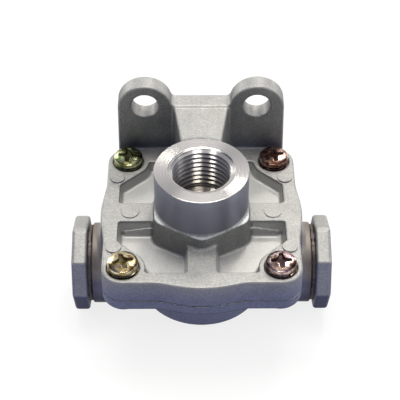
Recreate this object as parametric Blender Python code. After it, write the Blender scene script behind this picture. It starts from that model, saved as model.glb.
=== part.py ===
# Quick exhaust valve. A cast cover with the supply port and two mounting ears is screwed to a cast
# body with two delivery ports and an exhaust port. A sprung rubber diaphragm moves between the
# supply seat in the cover and the exhaust seat in the body.
# Lengths are in metres. Heights are measured up from the joint between cover and body.

import bpy
import bmesh
import numpy as np
from math import acos, atan2, cos, degrees, hypot, pi, radians, sin, sqrt

# Clearances
seat_gap = 0.0003               # between pieces that rest on each other
rim_gap = 0.0006                # round the diaphragm
spring_gap = 0.0007             # between the spring and what it slides past
screw_gap = 0.0003              # round a screw's shank

# Flange shared by cover and body
screw_spacing = 0.050
corner_radius = 0.0070
side_bulge = 0.0015             # how far the middle of a side stands out
casting_round = 0.0006          # rounding of cast edges

# Cover flange
cover_thickness = 0.0084
rim_width = 0.0046              # at the front and the sides
back_rim_width = 0.0071
side_rib_width = 0.0086
front_rib_width = 0.0092
front_pocket_depth = 0.0056
back_pocket_depth = 0.0040
pocket_draft = 0.0009           # how much narrower a pocket is at its floor
pocket_corner_round = 0.0012    # seen from above, at the rim
pad_radius = 0.0070             # metal left round each screw
spot_face_radius = 0.0057
spot_face_depth = 0.0010
pin_mark_radius = 0.0025        # round marks of the ejector pins
pin_mark_height = 0.0004
pin_mark_inset = 0.0036         # from the flange side
pin_mark_offset = 0.0164        # from the valve's axis, front to back
rib_mark_radius = 0.0030
rib_mark_height = 0.0002
rib_mark_inset = 0.0086

# Supply boss
boss_radius = 0.0154
boss_height = 0.0271
boss_edge = 0.0004
ledge_height = 0.0135           # where the round boss meets the hexagon
hexagon_flats = 0.0308          # across flats at the ledge
hexagon_flare = 0.0006          # how much wider each flat is at the foot
hexagon_corner_round = 0.0040
hexagon_edge = 0.0005

# Web between boss and ear plate
web_half_front = 0.0064
web_half_back = 0.0098
web_foot_flare = 0.0005
web_drop = 0.0004               # below the boss top
web_start = 0.0120              # from the valve's axis, inside the boss

# Ear plate
plate_front = 0.0319            # behind the valve's axis
plate_thickness = 0.0062
plate_foot_flare = 0.0005
plate_edge = 0.0006
bridge_half = 0.0086
bridge_rise = 0.0001            # above the boss top
ear_spacing = 0.0381
ear_radius = 0.0092
ear_drop = 0.0010               # ear centre below the boss top
ear_hole_radius = 0.0046
ear_hole_drop = -0.0001         # hole centre below the boss top

# Threaded ports, bored to the roots of their taper threads
taper = 1 / 32                  # radius lost for each length along a taper thread
supply_root_radius = 0.0101
supply_drill_radius = 0.0090
supply_thread_length = 0.0145
supply_drill_depth = 0.0170
port_root_radius = 0.0085
port_drill_radius = 0.0072
port_thread_length = 0.0105
port_drill_depth = 0.0135
exhaust_thread_runout = 0.0017  # between the end of the thread and the drill's shoulder
exhaust_floor_left = 0.0024     # metal between the drill's shoulder and the chamber
supply_countersink = 0.0011     # radius added at the mouth
port_countersink = 0.0007
drill_point = radians(59)       # half angle of a drill's tip

# Body
body_flange_thickness = 0.0038
screw_boss_drop = 0.0007        # below the flange
drum_radius = 0.0210
drum_depth = 0.0249
drum_edge = 0.0009
chamber_wall = 0.0028
chamber_floor = 0.0042
chamber_round = 0.0015
delivery_depth = 0.0157         # delivery axis below the joint
delivery_reach = 0.0433         # collar face from the valve's axis
neck_radius = 0.0137
neck_fillet = 0.0009
collar_flats = 0.0297
collar_length = 0.0053
collar_outer_edge = 0.0009
collar_inner_edge = 0.0006
delivery_passage_radius = 0.00475
exhaust_boss_length = 0.0074    # below the drum
exhaust_boss_radius = 0.0125
exhaust_boss_edge = 0.0008

# Inside
inlet_radius = 0.0048
supply_seat_width = 0.0022
supply_seat_height = 0.0012
seal_section = 0.0018
seal_wall = 0.0025              # between the chamber and the seal groove
seal_side_gap = 0.0004
diaphragm_thickness = 0.0030
diaphragm_pad_radius = 0.0115
diaphragm_lip_rise = 0.0010
diaphragm_lip_thickness = 0.0016
diaphragm_travel = 0.0019
exhaust_seat_radius = 0.0075
exhaust_passage_radius = 0.00525
exhaust_seat_edge = 0.0008
spring_wire = 0.0012
spring_turns = 6.0
spring_end_pitch = 0.0016
spring_seat_thickness = 0.0008
spring_seat_lip = 0.0020

# Fasteners
screw_radius = 0.0025
screw_length = 0.0140
head_radius = 0.0049
head_height = 0.0029
head_side_height = 0.0009
head_crown_radius = 0.0034
recess_span = 0.0054
recess_width = 0.0012
recess_depth = 0.0018
washer_radius = 0.0045
washer_thickness = 0.0012
washer_split = 10               # degrees
screw_turns = (17, 3, -6, 12)   # degrees, front left, front right, back left, back right
washer_turns = (62, 301, 145, 228)

# Places worked out from the sizes
screw_place = screw_spacing / 2
flange_half = screw_place + corner_radius
plate_back = plate_front + plate_thickness
flange_reach = flange_half + side_bulge
middle_y = (plate_back - flange_reach) / 2
web_top = boss_height - web_drop
bridge_height = boss_height + bridge_rise
ear_height = boss_height - ear_drop
flange_low = -seat_gap - body_flange_thickness
exhaust_reach = drum_depth + exhaust_boss_length
exhaust_drill_depth = exhaust_boss_length + chamber_floor - exhaust_floor_left
exhaust_thread_length = exhaust_drill_depth - exhaust_thread_runout
chamber_radius = drum_radius - chamber_wall
chamber_depth = drum_depth - chamber_floor
seal_groove_inner = chamber_radius + seal_wall
seal_groove_outer = seal_groove_inner + seal_section + 2 * seal_side_gap
seal_groove_depth = seal_section + seat_gap
seal_ring_radius = (seal_groove_inner + seal_groove_outer) / 2
diaphragm_radius = chamber_radius - rim_gap
diaphragm_top = -supply_seat_height - seat_gap
diaphragm_bottom = diaphragm_top - diaphragm_thickness
exhaust_seat_height = diaphragm_bottom - diaphragm_travel - seat_gap
spring_seat_top = diaphragm_bottom - seat_gap
spring_radius = exhaust_seat_radius + spring_gap + spring_wire
spring_outer = spring_radius + spring_wire / 2
spring_low = -chamber_depth + seat_gap + spring_wire / 2
spring_high = spring_seat_top - spring_seat_thickness - seat_gap - spring_wire / 2
washer_low = cover_thickness - spot_face_depth + seat_gap
head_low = washer_low + washer_thickness + seat_gap
screw_places = [(x * screw_place, y * screw_place) for y in (-1, 1) for x in (-1, 1)]

for item in list(bpy.data.objects):
    bpy.data.objects.remove(item)


def finish(name, colour, metallic, roughness):
    material = bpy.data.materials.new(name)
    material.use_nodes = True
    shader = material.node_tree.nodes["Principled BSDF"]
    shader.inputs["Base Color"].default_value = (*colour, 1)
    shader.inputs["Metallic"].default_value = metallic
    shader.inputs["Roughness"].default_value = roughness
    return material


cast_aluminium = finish("cast aluminium", (0.55, 0.54, 0.51), 0.9, 0.5)
yellow_zinc = finish("yellow zinc plate", (0.62, 0.45, 0.18), 1.0, 0.3)
spring_steel = finish("spring steel", (0.30, 0.29, 0.28), 1.0, 0.4)
black_rubber = finish("black rubber", (0.02, 0.02, 0.02), 0.0, 0.7)


def empty(name, location, parent=None):
    frame = bpy.data.objects.new(name, None)
    frame.location = location
    frame.parent = parent
    bpy.context.collection.objects.link(frame)
    return frame


# The exhaust face stands at height 0, and the valve's outline is centred over the origin.
valve = empty("valve_frame", (0, -middle_y, exhaust_reach))
slide = empty("diaphragm_slide_frame", (0, 0, diaphragm_top), valve)


def place(name, mesh, material, parent=valve):
    mesh.shade_smooth()
    mesh.set_sharp_from_angle(angle=radians(32))
    mesh.materials.append(material)
    piece = bpy.data.objects.new(name, mesh)
    piece.parent = parent
    bpy.context.collection.objects.link(piece)
    return piece


def to_mesh(name, shape):
    bmesh.ops.recalc_face_normals(shape, faces=shape.faces)
    mesh = bpy.data.meshes.new(name)
    shape.to_mesh(mesh)
    shape.free()
    return mesh


def arc(centre, radius, start, end, steps):
    # Points round a centre from a start to an end angle in degrees
    angles = np.radians(np.linspace(start, end, steps + 1))
    return [(centre[0] + radius * cos(a), centre[1] + radius * sin(a)) for a in angles]


def offset(outline, distance):
    # Moves every side of a closed anticlockwise outline outwards, with mitred corners
    points = np.array(outline)
    along = np.roll(points, -1, axis=0) - points
    along /= np.linalg.norm(along, axis=1)[:, None]
    normal = np.stack((along[:, 1], -along[:, 0]), axis=1)
    both = normal + np.roll(normal, 1, axis=0)
    both /= (np.sum(both**2, axis=1) / 2)[:, None]
    return points + both * distance


def rounded(corners, radius, steps):
    # Replaces each corner of an anticlockwise convex outline by an arc
    points = []
    count = len(corners)
    for i in range(count):
        before, corner, after = (np.array(corners[(i + k) % count]) for k in (-1, 0, 1))
        to_before = (before - corner) / np.linalg.norm(before - corner)
        to_after = (after - corner) / np.linalg.norm(after - corner)
        half = acos(np.clip(to_before @ to_after, -1, 1)) / 2
        inward = (to_before + to_after) / np.linalg.norm(to_before + to_after)
        centre = corner + inward * radius / sin(half)
        touch = corner + to_before * radius / np.tan(half) - centre
        start = degrees(atan2(touch[1], touch[0]))
        points += arc(centre, radius, start, start + 180 - 2 * degrees(half), steps)
    return points


def regular(sides, flats, turn=0.0):
    # Corners of a regular outline, given its size across flats and its first corner's angle
    corner = flats / 2 / cos(pi / sides)
    return [(corner * cos(turn + 2 * pi * i / sides), corner * sin(turn + 2 * pi * i / sides)) for i in range(sides)]


def loft(name, rings, material, parent=valve):
    # Skins a stack of closed outlines with equal point counts, lowest first, and caps both ends
    shape = bmesh.new()
    rows = [[shape.verts.new((x, y, height)) for x, y in outline] for outline, height in rings]
    for lower, upper in zip(rows, rows[1:]):
        for i in range(len(lower)):
            j = (i + 1) % len(lower)
            shape.faces.new((lower[i], lower[j], upper[j], upper[i]))
    shape.faces.new(rows[0][::-1])
    shape.faces.new(rows[-1])
    return place(name, to_mesh(name, shape), material, parent)


def rounded_block(name, outline, low, high, low_edge, high_edge, material, flare=0.0):
    # An extruded outline with rounded lower and upper edges; flare widens it towards the low end
    steps = (0, 45, 90)
    rings = []
    for a in steps[::-1]:
        if low_edge or a == 0:
            inset = low_edge * (1 - cos(radians(a)))
            rings.append((offset(outline, flare - inset), low + low_edge * (1 - sin(radians(a)))))
    for a in steps:
        if high_edge or a == 90:
            inset = high_edge * (1 - cos(radians(a)))
            rings.append((offset(outline, -inset), high - high_edge * (1 - sin(radians(a)))))
    return loft(name, rings, material)


def turned(name, profile, material, parent=valve, steps=48, centres=((0, 0),), sweep=360.0, closed=False):
    # Spins a profile of radius and height about each centre; a closed profile makes a ring
    shape = bmesh.new()
    for x, y in centres:
        verts = [shape.verts.new((x + radius, y, height)) for radius, height in profile]
        pairs = list(zip(verts, verts[1:]))
        if closed:
            pairs.append((verts[-1], verts[0]))
        edges = [shape.edges.new(pair) for pair in pairs]
        spun = bmesh.ops.spin(
            shape, geom=verts + edges, cent=(x, y, 0), axis=(0, 0, 1), angle=radians(sweep), steps=steps
        )
        if sweep < 360:
            ends = [item for item in spun["geom_last"] if isinstance(item, bmesh.types.BMEdge)]
            shape.faces.new(verts)
            bmesh.ops.contextual_create(shape, geom=ends)
    bmesh.ops.remove_doubles(shape, verts=shape.verts, dist=1e-6)
    return place(name, to_mesh(name, shape), material, parent)


def boolean(target, tool, operation):
    change = target.modifiers.new(operation.lower() + " " + tool.name, "BOOLEAN")
    change.operation = operation
    change.solver = "EXACT"
    change.object = tool
    tool.hide_render = True
    tool.display_type = "WIRE"


def add(target, *tools):
    for tool in tools:
        boolean(target, tool, "UNION")


def cut(target, *tools):
    for tool in tools:
        boolean(target, tool, "DIFFERENCE")


def mirrored(outline, x_side, y_side):
    # An anticlockwise outline mirrored into another quarter, kept anticlockwise
    points = [(x * x_side, y * y_side) for x, y in outline]
    return points if x_side * y_side > 0 else points[::-1]


def flange_outline():
    # A square with rounded corners, widened at the middle of each side by an arc about the axis
    bulge = degrees(acos(flange_half / flange_reach))
    points = []
    for quarter in range(4):
        side = arc((0, 0), flange_reach, -bulge, bulge, 8)
        side += arc((screw_place, screw_place), corner_radius, 0, 90, 8)
        a = quarter * pi / 2
        points += [(x * cos(a) - y * sin(a), x * sin(a) + y * cos(a)) for x, y in side]
    return points


def pocket_outline(rib_half, rim_y, inset):
    # One quarter's pocket: straight along the ribs and the rim, with rounded corners. Past the pin
    # mark it follows the tangent to the screw's pad, and then the pad. Every side moves in by the inset.
    outer_x = flange_half - rim_width - inset
    outer_y = rim_y - inset
    pad = pad_radius + inset
    mark_y = pin_mark_offset - pin_mark_radius - inset
    to_mark = (outer_x - screw_place, mark_y - screw_place)
    leave = degrees(atan2(to_mark[1], to_mark[0]) - acos(pad / hypot(*to_mark)))
    along = sqrt(pad**2 - (outer_y - screw_place) ** 2)
    sweep = (leave - degrees(atan2(outer_y - screw_place, -along))) % 360
    near_x = rib_half + inset
    near_y = side_rib_width / 2 + inset
    corner = pocket_corner_round - inset
    points = arc((near_x + corner, near_y + corner), corner, 180, 270, 3)
    points += arc((outer_x - corner, near_y + corner), corner, 270, 360, 3) + [(outer_x, mark_y)]
    points += arc((screw_place, screw_place), pad, leave, leave - sweep, 8)
    return points + arc((near_x + corner, outer_y - corner), corner, 90, 180, 3)


def pipe_bore(top, root, mouth, thread_length, drill, drill_depth, passage, end):
    # Profile of a threaded port's bore, from above its mouth down to the end of its passage
    neck = drill_depth + (drill - passage) / np.tan(drill_point)
    return [
        (0, top + root),
        (root + mouth + root, top + root),
        (root + mouth, top),
        (root, top - mouth),
        (root - taper * thread_length, top - thread_length),
        (drill, top - thread_length - (root - taper * thread_length - drill)),
        (drill, top - drill_depth),
        (passage, top - neck),
        (passage, end),
        (0, end),
    ]


def make_cover():
    cover = rounded_block(
        "cover", flange_outline(), 0, cover_thickness, 0, casting_round, cast_aluminium
    )

    pockets = (
        ("front", -1, front_rib_width / 2, flange_half - rim_width, front_pocket_depth),
        ("back", 1, web_half_front, flange_half - back_rim_width, back_pocket_depth),
    )
    for side, hand in ((-1, "left"), (1, "right")):
        for where, end, rib_half, rim_y, depth in pockets:
            rings = [
                (mirrored(pocket_outline(rib_half, rim_y, inset), side, end), height)
                for inset, height in (
                    (pocket_draft, cover_thickness - depth), (-pocket_draft, cover_thickness + depth),
                )
            ]
            cut(cover, loft(f"{where}_{hand}_pocket", rings, cast_aluminium))

    hexagon = rounded(regular(6, hexagon_flats, -pi / 2), hexagon_corner_round, 4)
    floor = cover_thickness - front_pocket_depth
    middle = cover_thickness / 2
    add(cover, rounded_block(
        "boss_hexagon", hexagon, floor / 2, ledge_height, 0, hexagon_edge, cast_aluminium, hexagon_flare
    ))

    web_back = plate_front + plate_thickness / 2
    web = [
        (-web_half_front, web_start), (web_half_front, web_start),
        (web_half_back, web_back), (-web_half_back, web_back),
    ]
    add(cover, rounded_block(
        "boss_web", web, floor / 2, web_top, 0, casting_round, cast_aluminium, web_foot_flare
    ))
    add(cover, make_ear_plate())

    add(cover, turned("boss_round", [
        (0, boss_height),
        (boss_radius - boss_edge, boss_height),
        (boss_radius, boss_height - boss_edge),
        (boss_radius, floor / 2),
        (0, floor / 2),
    ], cast_aluminium, steps=56))

    mark_x = flange_half - pin_mark_inset
    marks = [(x * mark_x, y * pin_mark_offset) for x in (-1, 1) for y in (-1, 1)]
    top = cover_thickness + pin_mark_height
    add(cover, turned(
        "pin_marks", [(0, top), (pin_mark_radius, top), (pin_mark_radius, middle), (0, middle)],
        cast_aluminium, steps=16, centres=marks,
    ))
    rib_mark_x = flange_half - rib_mark_inset
    top = cover_thickness + rib_mark_height
    add(cover, turned(
        "rib_marks", [(0, top), (rib_mark_radius, top), (rib_mark_radius, middle), (0, middle)],
        cast_aluminium, steps=18, centres=[(-rib_mark_x, 0), (rib_mark_x, 0)],
    ))

    seat_outer = inlet_radius + supply_seat_width
    add(cover, turned("supply_seat", [
        (0, floor / 2),
        (seat_outer + supply_seat_height, floor / 2),
        (seat_outer + supply_seat_height, 0),
        (seat_outer, -supply_seat_height),
        (0, -supply_seat_height),
    ], cast_aluminium))

    hole = screw_radius + screw_gap
    seat = cover_thickness - spot_face_depth
    above = head_low + head_height
    cut(cover, turned("cover_screw_holes", [
        (0, above), (spot_face_radius, above), (spot_face_radius, seat),
        (hole, seat), (hole, -cover_thickness), (0, -cover_thickness),
    ], cast_aluminium, steps=20, centres=screw_places))

    cut(cover, turned("supply_bore", pipe_bore(
        boss_height, supply_root_radius, supply_countersink, supply_thread_length,
        supply_drill_radius, supply_drill_depth, inlet_radius, -cover_thickness,
    ), cast_aluminium, steps=48))
    return cover


def make_ear_plate():
    # The outline stands upright: across the valve, and up from the joint
    bridge_x = bridge_half - ear_spacing / 2
    bridge_y = bridge_height - ear_height
    leave = degrees(atan2(bridge_y, bridge_x)) - degrees(acos(ear_radius / hypot(bridge_x, bridge_y)))
    side = ear_spacing / 2 + ear_radius
    right = [(side + plate_foot_flare, 0)] + arc((ear_spacing / 2, ear_height), ear_radius, 0, leave, 16)
    right.append((bridge_half, bridge_height))
    outline = right + [(-x, y) for x, y in right[::-1]]
    plate = rounded_block(
        "ear_plate", outline, -plate_back, -plate_front, casting_round / 2, plate_edge, cast_aluminium
    )
    plate.rotation_euler.x = pi / 2

    hole_y = boss_height - ear_hole_drop
    far = plate_back + plate_thickness
    near = plate_front - plate_thickness
    holes = turned("ear_holes", [
        (0, -near), (ear_hole_radius, -near), (ear_hole_radius, -far), (0, -far),
    ], cast_aluminium, steps=24, centres=[(-ear_spacing / 2, hole_y), (ear_spacing / 2, hole_y)])
    holes.rotation_euler.x = pi / 2
    cut(plate, holes)
    return plate


def make_body():
    body = rounded_block(
        "body", flange_outline(), flange_low, -seat_gap, casting_round, 0, cast_aluminium
    )
    boss_low = flange_low - screw_boss_drop
    add(body, turned("screw_bosses", [
        (0, flange_low / 2),
        (corner_radius - casting_round, flange_low / 2),
        (corner_radius - casting_round, boss_low + casting_round),
        (corner_radius - 2 * casting_round, boss_low),
        (0, boss_low),
    ], cast_aluminium, steps=20, centres=screw_places))
    add(body, turned("drum", [
        (0, flange_low / 2),
        (drum_radius, flange_low / 2),
        (drum_radius, -drum_depth + drum_edge),
        (drum_radius - drum_edge * (1 - sqrt(0.5)), -drum_depth + drum_edge * (1 - sqrt(0.5))),
        (drum_radius - drum_edge, -drum_depth),
        (0, -drum_depth),
    ], cast_aluminium, steps=60))

    inner_face = delivery_reach - collar_length
    flared = neck_radius + neck_fillet
    neck = turned("necks", [
        (0, inner_face + collar_length / 2),
        (flared, inner_face + collar_length / 2),
        (flared, inner_face),
        (neck_radius, inner_face - neck_fillet),
        (neck_radius, -inner_face + neck_fillet),
        (flared, -inner_face),
        (flared, -inner_face - collar_length / 2),
        (0, -inner_face - collar_length / 2),
    ], cast_aluminium, steps=40)
    neck.location.z = -delivery_depth
    neck.rotation_euler.y = pi / 2
    add(body, neck)

    bore = pipe_bore(
        delivery_reach, port_root_radius, port_countersink, port_thread_length,
        port_drill_radius, port_drill_depth, delivery_passage_radius, chamber_radius / 2,
    )
    ports = []
    for side, name in ((-1, "left"), (1, "right")):
        collar = rounded_block(
            f"{name}_collar", regular(8, collar_flats), inner_face, delivery_reach,
            collar_inner_edge, collar_outer_edge, cast_aluminium,
        )
        port = turned(f"{name}_bore", bore, cast_aluminium, steps=32)
        for item in (collar, port):
            item.location.z = -delivery_depth
            item.rotation_euler.y = side * pi / 2
        add(body, collar)
        ports.append(port)

    add(body, turned("exhaust_boss", [
        (0, -drum_depth + chamber_floor / 2),
        (exhaust_boss_radius, -drum_depth + chamber_floor / 2),
        (exhaust_boss_radius, -exhaust_reach + exhaust_boss_edge),
        (exhaust_boss_radius - exhaust_boss_edge, -exhaust_reach),
        (0, -exhaust_reach),
    ], cast_aluminium, steps=40))

    cut(body, turned("chamber", [
        (0, cover_thickness),
        (chamber_radius, cover_thickness),
        (chamber_radius, -chamber_depth + chamber_round),
        (chamber_radius - chamber_round, -chamber_depth),
        (0, -chamber_depth),
    ], cast_aluminium, steps=48))
    cut(body, *ports)

    add(body, turned("exhaust_seat", [
        (0, exhaust_seat_height),
        (exhaust_seat_radius - exhaust_seat_edge, exhaust_seat_height),
        (exhaust_seat_radius, exhaust_seat_height - exhaust_seat_edge),
        (exhaust_seat_radius, -drum_depth + chamber_floor / 2),
        (0, -drum_depth + chamber_floor / 2),
    ], cast_aluminium, steps=32))
    exhaust = turned("exhaust_bore", pipe_bore(
        exhaust_reach, port_root_radius, port_countersink, exhaust_thread_length,
        port_drill_radius, exhaust_drill_depth, exhaust_passage_radius, 0,
    ), cast_aluminium, steps=32)
    exhaust.rotation_euler.x = pi
    cut(body, exhaust)

    cut(body, turned("seal_groove", [
        (seal_groove_inner, seal_groove_depth),
        (seal_groove_outer, seal_groove_depth),
        (seal_groove_outer, -seal_groove_depth),
        (seal_groove_inner, -seal_groove_depth),
    ], cast_aluminium, steps=48, closed=True))
    hole = screw_radius + screw_gap
    cut(body, turned("body_screw_holes", [
        (0, cover_thickness), (hole, cover_thickness), (hole, -cover_thickness), (0, -cover_thickness),
    ], cast_aluminium, steps=16, centres=screw_places))
    return body


def make_seal():
    centre = (seal_ring_radius, seat_gap / 2 - seal_groove_depth / 2)
    section = arc(centre, (seal_section - seat_gap) / 2, 0, 315, 7)
    return turned("cover_seal_ring", section, black_rubber, steps=40, closed=True)


def make_diaphragm():
    # Heights from the top of the pad, which is the slide frame's own height
    pad = diaphragm_pad_radius
    lip = diaphragm_lip_rise
    rim = diaphragm_radius - diaphragm_lip_thickness
    return turned("diaphragm", [
        (0, 0),
        (pad - diaphragm_lip_thickness, 0),
        (pad, -lip / 4),
        (rim - diaphragm_lip_thickness / 2, lip / 2),
        (rim, lip),
        (diaphragm_radius - diaphragm_lip_thickness / 4, lip),
        (diaphragm_radius, lip / 2),
        (diaphragm_radius, -diaphragm_lip_thickness / 2),
        (rim, -diaphragm_lip_thickness),
        (pad + diaphragm_lip_thickness, -diaphragm_thickness * 0.75),
        (pad, -diaphragm_thickness),
        (0, -diaphragm_thickness),
    ], black_rubber, slide, steps=40)


def make_spring_seat():
    top = spring_seat_top - diaphragm_top
    inner = exhaust_seat_radius + spring_gap
    lip_inner = spring_outer + spring_gap
    lip_outer = lip_inner + spring_seat_thickness
    corner = spring_seat_thickness / 2
    return turned("spring_seat", [
        (inner, top),
        (lip_outer - corner, top),
        (lip_outer, top - corner),
        (lip_outer, top - spring_seat_lip),
        (lip_inner, top - spring_seat_lip),
        (lip_inner, top - spring_seat_thickness),
        (inner, top - spring_seat_thickness),
    ], spring_steel, slide, steps=32, closed=True)


def make_spring():
    # A helix whose end turns lie close and whose middle turns share the height that is left
    curve = bpy.data.curves.new("diaphragm_spring", "CURVE")
    curve.dimensions = "3D"
    curve.bevel_depth = spring_wire / 2
    curve.bevel_resolution = 1
    curve.use_fill_caps = True
    curve.materials.append(spring_steel)
    turn = np.linspace(0, spring_turns, int(spring_turns * 18) + 1)
    knots = [0, 1, spring_turns - 1, spring_turns]
    heights = [spring_low, spring_low + spring_end_pitch, spring_high - spring_end_pitch, spring_high]
    height = np.interp(turn, knots, heights)
    path = np.stack((spring_radius * np.cos(2 * pi * turn), spring_radius * np.sin(2 * pi * turn), height), axis=1)
    line = curve.splines.new("POLY")
    line.points.add(len(path) - 1)
    for point, place_on_path in zip(line.points, path):
        point.co = (*place_on_path, 1)
    spring = bpy.data.objects.new("diaphragm_spring", curve)
    spring.parent = valve
    bpy.context.collection.objects.link(spring)
    return spring


def cross_outline(span, width):
    # A plus sign as twelve corners, anticlockwise
    s, w = span / 2, width / 2
    arm = [(s, -w), (s, w), (w, w)]
    points = []
    for quarter in range(4):
        a = quarter * pi / 2
        points += [(x * cos(a) - y * sin(a), x * sin(a) + y * cos(a)) for x, y in arm]
    return points


def screw_mesh():
    # Pan head with a cross recess, from the underside of the head; the shank is plain
    side = (head_radius, head_side_height)
    crown = (head_crown_radius, head_height - head_side_height / 4)
    profile = [
        (0, head_height),
        (head_crown_radius * 0.5, head_height - head_side_height / 16),
        crown,
        ((side[0] + crown[0]) / 2 + head_side_height / 4, (side[1] + crown[1]) / 2 + head_side_height / 4),
        side,
        (head_radius, head_side_height / 3),
        (head_radius - head_side_height / 3, 0),
        (screw_radius, 0),
        (screw_radius, screw_radius / 4 - screw_length),
        (screw_radius * 0.75, -screw_length),
        (0, -screw_length),
    ]
    blank = turned("screw_blank", profile, yellow_zinc, steps=20)
    deep = head_height - recess_depth
    recess = loft("screw_recess", [
        (cross_outline(recess_span * 0.45, recess_width * 0.7), deep),
        (cross_outline(recess_span, recess_width), head_height + head_side_height / 2),
    ], yellow_zinc)
    cut(blank, recess)
    bpy.context.view_layer.update()
    mesh = bpy.data.meshes.new_from_object(blank.evaluated_get(bpy.context.evaluated_depsgraph_get()))
    for tool in (blank, recess):
        bpy.data.objects.remove(tool)
    return mesh


def make_fasteners():
    mesh = screw_mesh()
    inner = screw_radius + screw_gap
    washer = turned("washer_blank", [
        (inner, washer_thickness), (washer_radius, washer_thickness), (washer_radius, 0), (inner, 0),
    ], yellow_zinc, steps=18, sweep=360 - washer_split, closed=True)
    kinds = (("cover_screw", mesh, head_low, screw_turns), ("lock_washer", washer.data, washer_low, washer_turns))
    for number, (x, y) in enumerate(screw_places):
        for name, shared, height, turns in kinds:
            piece = bpy.data.objects.new(f"{name}_{number + 1}", shared)
            piece.location = (x, y, height)
            piece.rotation_euler.z = radians(turns[number])
            piece.parent = valve
            bpy.context.collection.objects.link(piece)
    bpy.data.objects.remove(washer)


make_cover()
make_body()
make_seal()
make_diaphragm()
make_spring_seat()
make_spring()
make_fasteners()
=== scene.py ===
import bmesh
import bpy
import numpy as np
from math import cos, pi, radians, sin, sqrt, tan
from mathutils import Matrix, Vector


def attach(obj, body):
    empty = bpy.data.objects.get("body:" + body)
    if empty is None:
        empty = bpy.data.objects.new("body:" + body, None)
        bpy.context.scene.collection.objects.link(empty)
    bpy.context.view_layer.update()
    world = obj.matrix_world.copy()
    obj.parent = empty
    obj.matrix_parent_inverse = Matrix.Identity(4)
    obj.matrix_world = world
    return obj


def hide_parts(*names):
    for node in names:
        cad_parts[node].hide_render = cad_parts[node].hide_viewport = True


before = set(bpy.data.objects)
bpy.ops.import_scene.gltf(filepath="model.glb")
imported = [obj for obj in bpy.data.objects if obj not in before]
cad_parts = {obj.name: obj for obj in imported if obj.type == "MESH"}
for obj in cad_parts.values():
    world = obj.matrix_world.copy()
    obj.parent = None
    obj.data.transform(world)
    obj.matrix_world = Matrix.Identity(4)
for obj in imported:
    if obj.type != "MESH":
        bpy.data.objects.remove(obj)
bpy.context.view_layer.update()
print("frame loaded")

# Shapes are worked out in millimetres from the valve's axis, with height up from the exhaust face
valveAxis = np.array([0.0, -0.0023, 0.0])


def addPiece(name, points, faces, material, replaced, normals=None, sharp=None, values=None):
    # Puts whole arrays into a mesh. Doubles are merged and faces turned outwards where no normals are given.
    # values holds one number a point under each name, for the material.
    mesh = bpy.data.meshes.new(name)
    mesh.vertices.add(len(points))
    mesh.vertices.foreach_set("co", (np.asarray(points) * 0.001 + valveAxis).ravel())
    mesh.loops.add(faces.size)
    mesh.loops.foreach_set("vertex_index", faces.ravel())
    mesh.polygons.add(len(faces))
    mesh.polygons.foreach_set("loop_start", np.arange(len(faces)) * faces.shape[1])
    mesh.update(calc_edges=True)
    for key, value in (values or {}).items():
        mesh.attributes.new(key, "FLOAT",
                            "POINT").data.foreach_set("value", np.ravel(value).astype(np.float32))
    if normals is None:
        shape = bmesh.new()
        shape.from_mesh(mesh)
        bmesh.ops.remove_doubles(shape, verts=shape.verts, dist=2e-7)
        bmesh.ops.dissolve_degenerate(shape, edges=shape.edges, dist=1e-7)
        bmesh.ops.recalc_face_normals(shape, faces=shape.faces)
        shape.to_mesh(mesh)
        shape.free()
    mesh.shade_smooth()
    if sharp:
        mesh.set_sharp_from_angle(angle=radians(sharp))
    if normals is not None:
        mesh.normals_split_custom_set_from_vertices(normals)
    mesh.materials.append(material)
    piece = bpy.data.objects.new(name, mesh)
    bpy.context.scene.collection.objects.link(piece)
    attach(piece, "valve_housing")
    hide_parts(replaced)
    print("made", name, len(mesh.polygons), "faces")
    return piece


def gridFaces(rows, columns, closeRows=True, partner=None):
    # Four-sided faces between neighbouring points of a grid whose columns run round and close. partner is
    # the row that each row meets where the last column joins the first, for rows that climb like a thread.
    partner = np.arange(rows) if partner is None else partner
    i = np.arange(rows if closeRows else rows - 1)[:, None]
    j = np.arange(columns)[None, :]
    nextRow, nextColumn = (i + 1) % rows, (j + 1) % columns
    wraps = nextColumn == 0
    across = np.where(wraps, partner[i], i), np.where(wraps, partner[nextRow], nextRow)
    corners = (i * columns + j, across[0] * columns + nextColumn, across[1] * columns + nextColumn,
               nextRow * columns + j)
    return np.stack(np.broadcast_arrays(*corners), -1).reshape(-1, 4)


# Colours and nodes


def linear(hexColour):
    # sRGB hex to the linear values that a shader takes
    channels = np.array([int(hexColour[i:i + 2], 16) for i in (1, 3, 5)]) / 255
    low, high = channels / 12.92, ((channels + 0.055) / 1.055) ** 2.4
    return (*np.where(channels <= 0.04045, low, high), 1.0)


def addNode(tree, kind, settings=(), links=()):
    # One node: settings go to its attributes or sockets by name or number, links bring in others' sockets
    item = tree.nodes.new("ShaderNode" + kind)
    for key, value in dict(settings).items():
        if isinstance(key, str) and hasattr(item, key):
            setattr(item, key, value)
        else:
            item.inputs[key].default_value = value
    for key, source in dict(links).items():
        tree.links.new(source, item.inputs[key])
    return item


def newMaterial(name):
    material = bpy.data.materials.new(name)
    material.use_nodes = True
    tree = material.node_tree
    tree.nodes.clear()
    return material, tree


castSettings = {
    # the fourth colour is painted shade for the inner corners
    "light": "#D0CEC7", "dark": "#A7A59F", "stain": "#8C8880", "cornerShade": "#4A443E",
    "metallic": 0.6, "roughness": 0.5,
    # painted shade, multiplied into the sides: grey on faces turned back, darker and bluer on faces turned
    # forward, down or low down
    "high": "#C4C7CA", "low": "#8A92BE", "under": "#0E1E62", "back": "#A6A9B2",
    # the neck's brown-grey, partly painted shade towards the collar groove; a painted highlight for the
    # ledge and painted light for the joint line; painted light that lightens the pocket floors
    "neckTint": "#8E8177", "ledgeAndJointLight": "#F4F3EF", "floor": "#EDEBE4",
    "grain": 0.46, "cloud": 5.0,            # millimetres
    "grainDepth": 0.038,
}


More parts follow.
